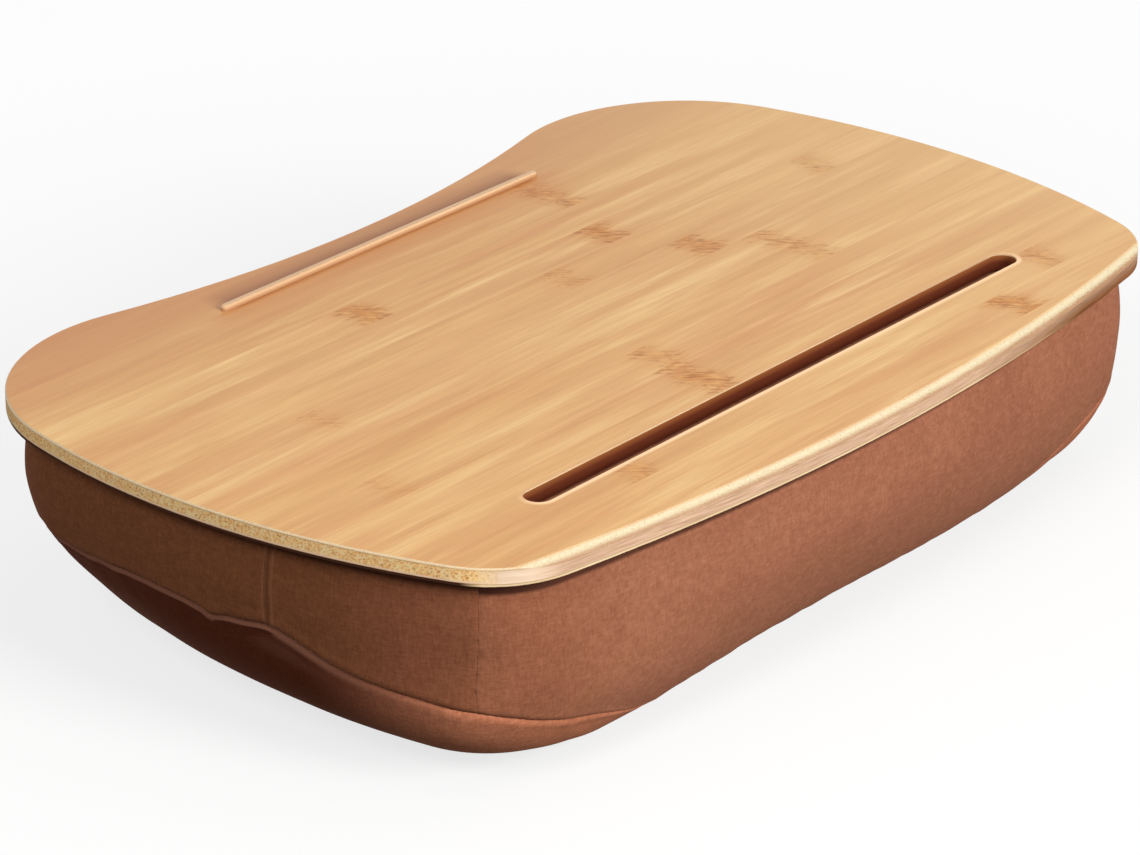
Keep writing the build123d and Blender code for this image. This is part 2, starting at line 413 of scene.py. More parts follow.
def read_smooth(shift, row_places, column_places):
    """Cubic spline reading of the coarse grid's shift; columns close on themselves."""
    rows, columns = shift.shape[:2]
    row = np.clip(np.floor(row_places).astype(int), 0, rows - 2)
    column = np.floor(column_places).astype(int)
    row_weights = spline_weights(row_places - row)
    column_weights = spline_weights(column_places - column)
    out = np.zeros(row_places.shape + (3,))
    for i in range(4):
        near_row = np.clip(row + i - 1, 0, rows - 1)
        for j in range(4):
            near_column = np.mod(column + j - 1, columns)
            weight = row_weights[i] * column_weights[j]
            out += weight[..., None] * shift[near_row, near_column]
    return out


# Fine cover grid

def column_lengths(seams):
    """Lengths along the outline for the columns: even, and closer together beside upright seams."""
    count = int(round(OUTLINE_LENGTH / COLUMN_STEP))
    even = np.arange(count) * OUTLINE_LENGTH / count
    keep = np.ones(count, bool)
    extra = []
    for seam in seams:
        keep &= np.abs(even - seam) > NEAR_SEAM[-1] + NEAR_SEAM_GAP
        extra += [seam] + [seam + side * d for d in NEAR_SEAM for side in (-1, 1)]
    return np.sort(np.concatenate([even[keep], extra]))


def rows_from_seam(total, count):
    """Distances from the seam: close steps beside it, then even ones to the far edge."""
    near = np.array((0.0,) + NEAR_SEAM)[:, None] * np.ones_like(total)
    far = np.linspace(0, 1, count + 1)[1:, None]
    return np.concatenate([near, NEAR_SEAM[-1] + far * (total - NEAR_SEAM[-1])])


def puckers(lengths):
    """Sum of sine waves along the outline, about one in height, the same in every run."""
    random = np.random.default_rng(PUCKER_SEED)
    total = np.zeros_like(lengths)
    for _ in range(PUCKER_WAVES):
        turns = round(OUTLINE_LENGTH / random.uniform(*PUCKER_LENGTHS))
        start = random.uniform(0, 2 * math.pi)
        total += np.sin(2 * math.pi * turns * lengths / OUTLINE_LENGTH + start)
    return total / math.sqrt(PUCKER_WAVES)


def groove(distance):
    """Depth of a turned seam at a distance from its line, with the soft lip beside it."""
    dip = GROOVE_DEPTH * np.clip(1 - distance / GROOVE_REACH, 0, 1)**2
    lip = LIP_HEIGHT * np.exp(-((distance - LIP_PLACE) / LIP_WIDTH)**2)
    return dip - lip


def rolled_edge(lengths, below):
    """Height of the rolled edges that stand out under the lower seam beside the end seams."""
    length = from_hollow(lengths)
    strength = np.zeros_like(lengths)
    for start, start_fade, stop, stop_fade, share in ROLLS:
        rising = np.clip((length - start) / start_fade, 0, 1)
        falling = np.clip((stop - length) / stop_fade, 0, 1)
        strength += share * (rising * falling)
    return ROLL_HEIGHT * strength * np.exp(-((below - ROLL_PLACE) / ROLL_WIDTH)**2)


def seam_relief(lengths, seams, wanted, seam_at, above):
    """Depth of grooves and puckers at every point of the cover, less the rolled edges' height."""
    from_seam = np.abs(wanted - seam_at)
    depth = groove(from_seam)
    fade = np.clip(wanted / UPRIGHT_FADE, 0, 1)
    for seam, share in zip(seams, SEAM_SHARES):
        depth += np.where(above, share * groove(np.abs(lengths - seam)) * fade, 0.0)
    depth -= np.where(above, 0.0, rolled_edge(lengths, from_seam))
    fold = puckers(lengths) * np.exp(-from_seam / PUCKER_REACH)
    return depth + PUCKER_HEIGHT * fold * np.clip(from_seam / PUCKER_CLEAR, 0, 1)


def cover_grid():
    """Rows of points from the top rim to the middle of the underside, and where the seams are."""
    seams = [END_SEAM, CORNER_SEAM, OUTLINE_LENGTH - CORNER_SEAM, OUTLINE_LENGTH - END_SEAM]
    lengths = column_lengths(seams)
    seam_columns = [int(np.argmin(np.abs(lengths - seam))) for seam in seams]
    sim_columns = [int(round(seam / OUTLINE_LENGTH * SIM_COLUMNS)) % SIM_COLUMNS for seam in seams]
    shift = simulated_shift(sim_columns)

    lines, running, seam_at = panel_lines(lengths)
    boxing_rows = int(round(seam_at.mean() / ROW_STEP))
    under_rows = int(round((running[-1] - seam_at).mean() / ROW_STEP))
    up = rows_from_seam(seam_at, boxing_rows)[::-1]
    down = rows_from_seam(running[-1] - seam_at, under_rows)[1:]
    wanted = np.concatenate([seam_at - up, seam_at + down])
    points = read_lines(lines, running, wanted)
    seam_row = len(up) - 1

    under_share = (wanted - seam_at) / (running[-1] - seam_at)
    row_places = np.where(
        wanted <= seam_at,
        wanted / seam_at * SIM_BOXING_ROWS,
        SIM_BOXING_ROWS + under_share * SIM_BOTTOM_ROWS,
    )
    points += read_smooth(shift, row_places, lengths / OUTLINE_LENGTH * SIM_COLUMNS)
    swell = smooth_through(SWELL_LENGTHS, SWELLS, lengths)
    low = np.clip((SWELL_NONE - points[..., 2]) / (SWELL_NONE - SWELL_FULL), 0, 1)
    points += grid_normals(points) * (swell * (3 - 2 * low) * low**2)[..., None]

    above = np.arange(len(wanted))[:, None] <= seam_row
    depth = seam_relief(lengths, seams, wanted, seam_at, above)
    points -= grid_normals(points) * depth[..., None]
    points[..., 2] = np.maximum(points[..., 2], 0.0)
    return points, seam_row, seam_columns


# Materials. A pair of numbers says where something starts and where it is full

def colour(red, green, blue):
    """An sRGB colour of 0 to 255 as the linear value that a shader takes."""
    def linear(value):
        value = value / 255
        return value / 12.92 if value <= 0.04045 else ((value + 0.055) / 1.055)**2.4
    return (linear(red), linear(green), linear(blue), 1.0)


def grey(level):
    return (level, level, level, 1.0)


class Nodes:
    """Short calls that build a node tree."""

    def __init__(self, tree):
        self.tree = tree

    def node(self, kind, inputs, **settings):
        """A new node with its settings, and its inputs fed by name or number."""
        node = self.tree.nodes.new("ShaderNode" + kind)
        for key, value in settings.items():
            setattr(node, key, value)
        self.feed(node, inputs)
        return node

    def feed(self, node, inputs):
        for key, value in inputs.items():
            if isinstance(value, bpy.types.NodeSocket):
                self.tree.links.new(value, node.inputs[key])
            else:
                node.inputs[key].default_value = value

    def maths(self, operation, *values):
        return self.node("Math", dict(enumerate(values)), operation=operation).outputs[0]

    plus = partialmethod(maths, "ADD")
    minus = partialmethod(maths, "SUBTRACT")
    times = partialmethod(maths, "MULTIPLY")
    larger = partialmethod(maths, "MAXIMUM")
    size = partialmethod(maths, "ABSOLUTE")

    def distance(self, a, b):
        """Length of the step that goes a one way and b across."""
        return self.maths("SQRT", self.maths("MULTIPLY_ADD", a, a, self.times(b, b)))

    def spread(self, value, low, high, to_low=0.0, to_high=1.0, smooth=False):
        """The value's way from low to high as 0 to 1, or as to_low to to_high, and held beyond."""
        inputs = dict(enumerate((value, low, high, to_low, to_high)))
        kind = "SMOOTHSTEP" if smooth else "LINEAR"
        return self.node("MapRange", inputs, interpolation_type=kind).outputs[0]

    def looked_at(self):
        """One for what the camera sees, also mirrored, and zero for light thrown on other pieces."""
        path = self.node("LightPath", {}).outputs
        mirrored = self.larger(path["Is Glossy Ray"], path["Is Transmission Ray"])
        return self.larger(path["Is Camera Ray"], mirrored)


class Shade(Nodes):
    """A node material, with the place and the normal in the object's axes at hand."""

    def __init__(self, name):
        self.material = bpy.data.materials.new(name)
        self.material.use_nodes = True
        super().__init__(self.material.node_tree)
        source = self.node("TexCoord", {}).outputs
        self.place = source["Object"]
        self.x, self.y, self.z = self.node("SeparateXYZ", {0: self.place}).outputs
        self.normal = self.node("SeparateXYZ", {0: source["Normal"]}).outputs

    def mapped(self, source, **inputs):
        return self.node("Mapping", {"Vector": source, **inputs}).outputs[0]

    def noise(self, scale, detail, roughness, source=None):
        inputs = {"Scale": scale, "Detail": detail, "Roughness": roughness}
        return self.node("TexNoise", {"Vector": source or self.place, **inputs}).outputs["Fac"]

    def grain(self, scale, detail, roughness, source=None, offset=(0, 0, 0)):
        """Noise with a scale of its own along each axis."""
        place = self.mapped(source or self.place, Scale=scale, Location=offset)
        return self.noise(1.0, detail, roughness, place)

    def cells(self, scale, source=None):
        inputs = {"Vector": source or self.place, "Scale": scale}
        return self.node("TexVoronoi", inputs).outputs["Distance"]

    def mix(self, share, a, b):
        node = self.node("Mix", {"Factor": share}, data_type="RGBA")
        ports = [k for k, socket in enumerate(node.inputs) if socket.type == "RGBA"]
        self.feed(node, dict(zip(ports, (a, b))))
        return [socket for socket in node.outputs if socket.type == "RGBA"][0]

    def tint(self, base, tone, value, start, full, strength=1.0, smooth=False):
        """The base turned into the tone where the value goes from start to full."""
        return self.mix(self.spread(value, start, full, 0.0, strength, smooth), base, tone)

    def bump(self, height, strength, distance, **normal):
        inputs = {"Height": height, "Strength": strength, "Distance": distance, **normal}
        return self.node("Bump", inputs).outputs[0]

    def finish(self, base, roughness, **inputs):
        """The material, once its shader has its colour, roughness and other inputs."""
        shader = self.tree.nodes["Principled BSDF"]
        self.feed(shader, {"Base Color": base, "Roughness": roughness})
        self.feed(shader, {name.replace("_", " "): value for name, value in inputs.items()})
        return self.material


# Bamboo's face

STRIP_WIDTH = 0.0215
STRIP_START = -0.0665
STRIP_SHIFT = 0.7
# Layers of the face's colour: noise, start, full, strength, colour
FACE_LAYERS = (
    ("warm", 0.50, 0.70, 0.7, colour(210, 147, 90)),
    ("streak", 0.50, 0.74, 0.5, colour(196, 138, 78)),
    ("streak", 0.47, 0.26, 0.65, colour(241, 204, 140)),
    ("fibre", 0.42, 0.75, 0.3, colour(182, 126, 74)),
)
FACE_TONES = colour(231, 185, 120), colour(213, 158, 95)
STRIP_TONE = colour(217, 164, 106)
# Painted shade: the face darker and browner towards the hollow, on the user's side
USER_SIDE_SHADE_REACH = (-0.085, -0.150)
USER_SIDE_SHADE = colour(192, 127, 76)
FAR_SIDE_REACH = (-0.06, -0.24)
FAR_SIDE_TONE = colour(238, 196, 134)

# Bamboo nodes on the face: place along the grain, first strip, strips crossed, strength
NODE_MARKS = (
    (0.070, -1, 1, 1.0), (-0.091, -3, 2, 0.75), (-0.072, 0, 1, 1.0), (-0.088, 2, 1, 0.95),
    (-0.019, 1, 1, 0.45), (-0.117, 3, 2, 0.55), (-0.178, 8, 1, 0.55), (-0.123, 9, 1, 0.95),
    (0.023, 5, 1, 0.60), (0.028, 6, 2, 0.90), (0.118, 8, 1, 0.50), (0.168, 2, 1, 0.30),
    (-0.205, 1, 1, 0.45), (0.196, 5, 1, 0.25),
)
MARK_LENGTH = 0.0085
MARK_WANDER = 0.006
MARK_FEATHER = 0.0045
MARK_STAIN = colour(196, 124, 38)
MARK_GLINT = colour(236, 180, 112)
MARK_DASH = colour(160, 94, 22)
DASH_TURN = math.radians(52)
DASH_SCALE = (125.0, 500.0, 1.0)

# Painted shade along the ledge: a painted contact shadow on its line, a painted shadow behind it, and
# darker orange painted shade before it
CONTACT_SHADOW_LINE = (0.0032, 0.00064)
BEHIND_SHADOW_REACH = 0.018
FRONT_SHADE_REACH = 0.032
SHADOW_ENDS = (LEDGE_HIGH.x + 0.001, LEDGE_HIGH.x - 0.012)
FRONT_SHADE_ENDS = (LEDGE_HIGH.x + 0.025, LEDGE_HIGH.x - 0.010)
FRONT_SHADE_TONE = colour(190, 112, 50)
BEHIND_SHADOW_TONE = colour(140, 76, 32)


def face_grain(shade):
    """Colour and relief of the bamboo's face, grain along X."""
    strip = shade.maths("FLOOR", shade.maths("DIVIDE", shade.minus(shade.y, STRIP_START), STRIP_WIDTH))
    own = shade.node("TexWhiteNoise", {"W": strip}, noise_dimensions="1D").outputs["Value"]
    shifted = shade.plus(shade.x, shade.times(own, STRIP_SHIFT))
    place = shade.node("CombineXYZ", {0: shifted, 1: shade.y, 2: shade.z}).outputs[0]
    broad = shade.grain((3.2, 40.0, 2.0), 3.0, 0.5, place)
    layers = {
        "streak": shade.grain((9.0, 130.0, 5.0), 3.0, 0.5, place),
        "warm": shade.grain((4.0, 90.0, 5.0), 3.0, 0.55, place, (3.0, 1.0, 0.0)),
        "fibre": shade.grain((40.0, 1000.0, 30.0), 3.0, 0.65, place),
    }
    base = shade.mix(shade.spread(broad, 0.33, 0.67), *FACE_TONES)
    base = shade.mix(shade.times(own, 0.5), base, STRIP_TONE)
    for noise, start, full, strength, tone in FACE_LAYERS:
        base = shade.tint(base, tone, layers[noise], start, full, strength)
    # Painted shade towards the hollow side
    base = shade.tint(base, USER_SIDE_SHADE, shade.y, *USER_SIDE_SHADE_REACH, 0.72, smooth=True)
    base = shade.tint(base, FAR_SIDE_TONE, shade.x, *FAR_SIDE_REACH, 0.35)
    stain, glints, dashes = node_marks(shade, strip)
    base = shade.mix(shade.times(stain, 0.95), base, MARK_STAIN)
    base = shade.mix(shade.times(glints, 0.5), base, MARK_GLINT)
    base = shade.mix(shade.times(dashes, 0.7), base, MARK_DASH)
    relief = shade.plus(shade.times(layers["fibre"], 0.6), shade.times(layers["streak"], 0.4))
    return base, shade.minus(relief, shade.times(dashes, 0.5))


def node_marks(shade, strip):
    """Stain, light glints and dark dashes of the bamboo's nodes. A strip's edge cuts them off."""
    wander = shade.grain((1.0, 45.0, 1.0), 2.0, 0.5)
    feather = shade.grain((12.0, 420.0, 1.0), 2.0, 0.6)
    moved = shade.plus(shade.x, shade.spread(wander, 0.2, 0.8, -MARK_WANDER, MARK_WANDER))
    moved = shade.plus(moved, shade.spread(feather, 0.25, 0.75, -MARK_FEATHER, MARK_FEATHER))
    stain = 0.0
    for place, first, count, strength in NODE_MARKS:
        inside = shade.maths("COMPARE", strip, first + (count - 1) / 2, count / 2)
        along = shade.maths("DIVIDE", shade.minus(moved, place), MARK_LENGTH)
        one = shade.maths("EXPONENT", shade.times(shade.times(along, along), -1.0))
        stain = shade.larger(shade.times(shade.times(one, inside), strength), stain)
    dash, counter = (
        shade.grain(DASH_SCALE, 1.0, 0.5, shade.mapped(shade.place, Rotation=(0.0, 0.0, turn)))
        for turn in (DASH_TURN, -DASH_TURN)
    )
    dark = shade.larger(shade.spread(dash, 0.53, 0.66), shade.spread(counter, 0.58, 0.72, 0.0, 0.5))
    light = shade.spread(dash, 0.42, 0.30)
    patchy = shade.grain((60.0, 110.0, 1.0), 2.0, 0.5)
    marked = shade.spread(stain, 0.1, 0.6)
    stain = shade.times(stain, shade.spread(patchy, 0.3, 0.6, 0.6, 1.0))
    return stain, shade.times(marked, light), shade.times(marked, dark)


def ledge_painted_shade(shade):
    """Shares of the painted shadow on the ledge's line and behind it, and of the darker orange painted
    shade before it.
    """
    off_x = shade.size(shade.x)
    ahead = shade.minus(shade.y, LEDGE_HIGH.y)
    line = shade.spread(shade.size(ahead), *CONTACT_SHADOW_LINE, 0.0, 0.5)
    behind = shade.spread(shade.y, LEDGE_LOW.y - BEHIND_SHADOW_REACH, LEDGE_LOW.y, 0.0, 0.95)
    behind = shade.times(behind, shade.maths("LESS_THAN", shade.y, LEDGE_HIGH.y))
    within = shade.spread(off_x, *SHADOW_ENDS, smooth=True)
    beside = shade.spread(off_x, *FRONT_SHADE_ENDS, smooth=True)
    before = shade.times(shade.spread(ahead, FRONT_SHADE_REACH, 0.0, 0.0, 0.42), beside)
    before = shade.times(before, shade.maths("GREATER_THAN", ahead, 0.0))
    return shade.times(shade.larger(line, behind), within), before


# Cut edges of the board

END_GRAIN_REACH = (0.69, 0.83)
END_TONES = colour(236, 168, 100), colour(255, 214, 148)
END_PATCH = colour(255, 226, 170)
END_FLECK = colour(176, 112, 58)
VENEER_TONES = colour(238, 212, 170), colour(222, 188, 144)
VENEER_END = colour(255, 219, 168)
CORE_TONES = colour(230, 194, 164), colour(186, 147, 117)
CORNER_PALE_REACH = (0.22, 0.50)
CORNER_TONES = colour(254, 230, 202), colour(236, 204, 172)
PLY_BLEND = 0.0002
GLUE_WIDTH = (0.00008, 0.00028)
GLUE_TONE = colour(128, 90, 58)
# Painted shade on the edge's lower part towards the far end
FAR_END_SHADE_REACH = (-0.05, -0.15)
FAR_END_SHADE_TONES = colour(154, 100, 60), colour(118, 72, 42)

# Foot of the edge: a light line, and a painted shadow under it at the short ends
FOOT_HEIGHT = 0.0012
FOOT_LINE = 0.0005
FOOT_LINE_CORE = 0.0003
FOOT_SHADOW_REACH = (0.0002, -0.0001)
LOW_END_REACH = (0.80, 0.90)
FOOT_PALE = colour(244, 206, 172)
FOOT_SHADOW = colour(68, 39, 28)

# Bevel of the front edge: cream down to a frayed line, brown where the core shows
BEVEL_REACH = (0.60, 0.80)
BEVEL_CREAM = BOARD_TOP - 0.0015
BEVEL_FRAY = 0.0006
CREAM_TONES = colour(226, 212, 177), colour(204, 177, 138)
BEVEL_BROWN = colour(176, 138, 102)


def end_grain(shade):
    """Speckled grain of the short ends: pores, pale patches and brown flecks."""
    speck = shade.cells(820.0, shade.mapped(shade.place, Scale=(1.0, 1.0, 1.2)))
    patch = shade.noise(380.0, 2.0, 0.6)
    fleck = shade.noise(900.0, 1.0, 0.5, shade.mapped(shade.place, Scale=(1.0, 1.0, 1.5)))
    base = shade.mix(shade.spread(speck, 0.2, 0.6), *END_TONES)
    base = shade.tint(base, END_PATCH, patch, 0.48, 0.66, 0.8)
    return shade.tint(base, END_FLECK, fleck, 0.58, 0.70, 0.7)


def ply_edges(shade, endways, is_end):
    """The core between two pale veneers, with painted shade, browner towards the far end on its lower
    part, and the glue lines.
    """
    side = shade.grain((35.0, 35.0, 900.0), 3.0, 0.6)
    streaks = shade.spread(side, 0.35, 0.7)
    veneer = shade.mix(is_end, shade.mix(streaks, *VENEER_TONES), VENEER_END)
    along = shade.grain((60.0, 60.0, 2200.0), 2.0, 0.6)
    core = shade.mix(shade.spread(along, 0.3, 0.7), *CORE_TONES)
    corner = shade.mix(streaks, *CORNER_TONES)
    core = shade.tint(core, corner, endways, *CORNER_PALE_REACH, 0.85)
    core = shade.mix(is_end, core, end_grain(shade))
    over = shade.spread(shade.z, CORE_BOTTOM, CORE_BOTTOM + PLY_BLEND)
    under = shade.spread(shade.z, CORE_TOP, CORE_TOP - PLY_BLEND)
    base = shade.mix(shade.times(over, under), veneer, core)
    # Painted shade, browner towards the far end and the edge's foot
    low_part = shade.spread(shade.z, CORE_TOP, CORE_BOTTOM, 0.4, 1.0)
    far_end_shade = shade.times(shade.spread(shade.x, *FAR_END_SHADE_REACH), low_part)
    base = shade.mix(far_end_shade, base, shade.mix(shade.spread(side, 0.4, 0.6), *FAR_END_SHADE_TONES))
    for height in (CORE_BOTTOM, CORE_TOP):
        away = shade.size(shade.minus(shade.z, height))
        base = shade.mix(shade.spread(away, *GLUE_WIDTH, 0.45, 0.0), base, GLUE_TONE)
    return base


def bevel_wear(shade, base):
    """The bevel where the cut runs through the top ply into the core."""
    dots = shade.grain((900.0, 1700.0, 1700.0), 2.0, 0.6)
    on_bevel = shade.spread(shade.normal[2], *BEVEL_REACH)
    brown = shade.times(shade.spread(dots, 0.35, 0.6, 0.35, 0.85), on_bevel)
    base = shade.mix(brown, base, BEVEL_BROWN)
    height = shade.maths("MULTIPLY_ADD", shade.spread(dots, 0.35, 0.65), BEVEL_FRAY, shade.z)
    cream = shade.spread(height, BEVEL_CREAM, BEVEL_CREAM + BEVEL_FRAY)
    tone = shade.mix(shade.spread(dots, 0.50, 0.70), *CREAM_TONES)
    return shade.mix(shade.times(cream, on_bevel), base, tone)


def edge_colour(shade):
    """Cut edge of the plies, with the light line and the painted shadow at its foot, and the bevel."""
    endways = shade.size(shade.normal[0])
    is_end = shade.spread(endways, *END_GRAIN_REACH)
    base = ply_edges(shade, endways, is_end)
    rise = shade.minus(shade.z, BOARD_BOTTOM + FOOT_HEIGHT)
    light = shade.spread(shade.size(shade.minus(rise, FOOT_LINE)), FOOT_LINE, FOOT_LINE_CORE)
    # Painted shadow along the foot of the short ends
    low = shade.spread(rise, *FOOT_SHADOW_REACH)
    end_foot_shadow = shade.times(low, shade.spread(endways, *LOW_END_REACH))
    base = shade.mix(shade.times(light, is_end), base, FOOT_PALE)
    return bevel_wear(shade, shade.mix(end_foot_shadow, base, FOOT_SHADOW))


# Slot, and the materials of the board

RIM_DEPTH = 0.0007
# Painted highlight round the slot's rim
RIM_HIGHLIGHT_REACH = (0.0030, 0.0014)
RIM_HIGHLIGHT_TONE = colour(254, 212, 163)
SLOT_SIDE_MARGIN = 0.0001
SLOT_END_MARGIN = 0.001
# Painted shade in the slot: its wall dark brown, darkest towards the bottom
SLOT_SHADE_DEPTH = 0.004
SLOT_TONES = colour(92, 42, 26), colour(114, 56, 33)
SLOT_TOP = colour(156, 96, 52)
CREST_DEPTH = 0.0006
LEDGE_FOOT = 0.0018
LEDGE_TONES = colour(222, 186, 146), colour(204, 160, 118)
LEDGE_PATCH = colour(212, 170, 126)
LEDGE_SHADOW = colour(150, 96, 54)


def slot_rim_highlight(shade):
    """Painted highlight on the narrow eased edge round the slot, paler than the face, most on its near
    side.
    """
    past_x = shade.larger(shade.minus(shade.size(shade.x), (SLOT_LENGTH - SLOT_WIDTH) / 2), 0.0)
    off_y = shade.minus(shade.y, SLOT_Y)
    away = shade.minus(shade.distance(off_y, past_x), SLOT_WIDTH / 2)
    strength = shade.spread(off_y, -SLOT_WIDTH / 2, SLOT_WIDTH / 2, 0.1, 0.95)
    return shade.times(shade.spread(away, *RIM_HIGHLIGHT_REACH), strength)


def shaded_slot_wall(shade, base):
    """The base with the milled slot's wall as painted shade: dark brown, darker towards the bottom."""
    off_y = shade.size(shade.minus(shade.y, SLOT_Y))
    in_y = shade.maths("LESS_THAN", off_y, SLOT_WIDTH / 2 + SLOT_SIDE_MARGIN)
    in_x = shade.maths("LESS_THAN", shade.size(shade.x), SLOT_LENGTH / 2 + SLOT_END_MARGIN)
    low = shade.maths("LESS_THAN", shade.z, BOARD_TOP - RIM_DEPTH)
    # Painted shade on the slot's wall
    wall = shade.mix(shade.grain((40.0, 40.0, 400.0), 3.0, 0.6), *SLOT_TONES)
    wall = shade.tint(wall, SLOT_TOP, shade.z, BOARD_TOP - SLOT_SHADE_DEPTH, BOARD_TOP)
    return shade.mix(shade.times(shade.times(in_y, in_x), low), base, wall)


def bamboo_top():
    """Face of the top ply, with the cut edge wherever the surface turns down."""
    shade = Shade("bamboo_top")
    base, relief = face_grain(shade)
    ledge_shadow, glow = ledge_painted_shade(shade)
    # Painted shadow on the ledge's line and behind it, darker orange painted shade before it
    base = shade.mix(ledge_shadow, shade.mix(glow, base, FRONT_SHADE_TONE), BEHIND_SHADOW_TONE)
    upward = shade.normal[2]
    crest = shade.spread(shade.z, BOARD_TOP - CREST_DEPTH, BOARD_TOP, 0.0, 0.8)
    crest = shade.times(crest, shade.spread(upward, 0.85, 0.9))
    facing = shade.larger(shade.spread(upward, 0.97, 0.995), crest)
    base = shade.mix(facing, edge_colour(shade), base)
    # Painted highlight on the slot's rim; the slot's wall is painted shade
    base = shaded_slot_wall(shade, shade.mix(slot_rim_highlight(shade), base, RIM_HIGHLIGHT_TONE))
    normal = shade.bump(relief, 0.14, 0.0006)
    return shade.finish(
        base, 0.42, Normal=normal, Specular_IOR_Level=0.35, Coat_Weight=0.08, Coat_Roughness=0.3)


def bamboo_edge():
    shade = Shade("bamboo_core")
    relief = shade.grain((90.0, 90.0, 900.0), 3.0, 0.6)
    normal = shade.bump(relief, 0.25, 0.0004)
    # Painted shade on the slot's wall
    base = shaded_slot_wall(shade, edge_colour(shade))
    return shade.finish(base, 0.85, Normal=normal, Specular_IOR_Level=0.06)


def bamboo_ledge():
    shade = Shade("bamboo_ledge")
    grain = shade.grain((8.0, 700.0, 500.0), 3.0, 0.55)
    broad = shade.grain((14.0, 30.0, 30.0), 2.0, 0.5)
    base = shade.mix(shade.spread(grain, 0.3, 0.75), *LEDGE_TONES)
    base = shade.tint(base, LEDGE_PATCH, broad, 0.45, 0.7, 0.4)
    base = shade.tint(base, LEDGE_SHADOW, shade.z, BOARD_TOP + LEDGE_FOOT, BOARD_TOP, 0.65)
    return shade.finish(base, 0.4, Normal=shade.bump(grain, 0.15, 0.0003), Specular_IOR_Level=0.4)


# Cloth. Painted shade and painted light: how much darker or lighter its colour is made on each panel
# and round the corner

PLAIN_NAP = (1.0, 1.0, 1.0)
FRONT_CORNER_SHADE = (0.82, 0.77, 0.71)
END_SHADE = (0.50, 0.45, 0.33)
END_CORNER_SHADE = (0.68, 0.61, 0.52)
UNDER_SHADE = (0.19, 0.10, 0.06)
UNDER_CORNER_LIGHT = (1.24, 1.16, 1.08)
# Where one painted shade passes into the other: axis, start, full
FRONT_TURN = ("x", 0.150, 0.215)
END_TURN = ("y", 0.045, 0.125)
# Heights where the board's shadow starts and is full
FRONT_SHADOW = (CUSHION_TOP - 0.0068, CUSHION_TOP - 0.0054)
END_SHADOW = (CUSHION_TOP - 0.0054, CUSHION_TOP - 0.0034)
SHADOW_TONE = colour(52, 27, 22)

# Layers of the nap's colour: noise, start, full, strength, colour
NAP_LAYERS = (
    ("drift", 0.5, 0.72, 0.5, colour(157, 106, 73)),
    ("mottle", 0.45, 0.72, 0.5, colour(142, 88, 65)),
    ("mottle", 0.45, 0.28, 0.35, colour(180, 121, 93)),
    ("hatch", 0.5, 0.66, 0.5, colour(186, 126, 98)),
    ("hatch", 0.5, 0.34, 0.5, colour(136, 82, 60)),
)
NAP_DARK = colour(157, 100, 76)
NAP_LIGHT = colour(169, 110, 84)
SHEEN_TINT = colour(214, 150, 120)

# End seams: painted highlights on the edges of the turned cloth and a line of painted shade in the
# crease between them
SEAM_EDGE_PLACE = 0.0021
SEAM_EDGE_WIDTH = 0.0009
SEAM_LINE_WIDTH = 0.0007
SEAM_EDGE_RISE = (0.040, 0.050)
SEAM_HIGHLIGHT = colour(204, 152, 128)
SEAM_CREASE_SHADE = colour(112, 66, 46)

# Light that the rolled edge catches
ROLL_FACING_REACH = (-0.15, 0.10)
ROLL_TONE = colour(124, 82, 64)


def end_seam_lines(shade, base, highlight, dark):
    """The base with painted highlights and painted shade along the upright seams in the middle of the
    short ends.
    """
    seam_y = float(profiles(np.array([END_SEAM]))[PROFILE_STEPS // 2, 0, 1])
    beside = shade.size(shade.minus(shade.y, seam_y))
    off = shade.size(shade.minus(beside, SEAM_EDGE_PLACE))
    above = shade.spread(shade.z, *SEAM_EDGE_RISE)
    ridge_highlights = shade.times(shade.spread(off, SEAM_EDGE_WIDTH, SEAM_EDGE_WIDTH / 3, 0.0, 0.32), above)
    crease_shade = shade.times(shade.spread(beside, SEAM_LINE_WIDTH, SEAM_LINE_WIDTH / 3, 0.0, 0.55), above)
    # Painted shade in the crease, painted highlights on the turned edges beside it
    return shade.mix(crease_shade, shade.mix(ridge_highlights, base, highlight), dark)


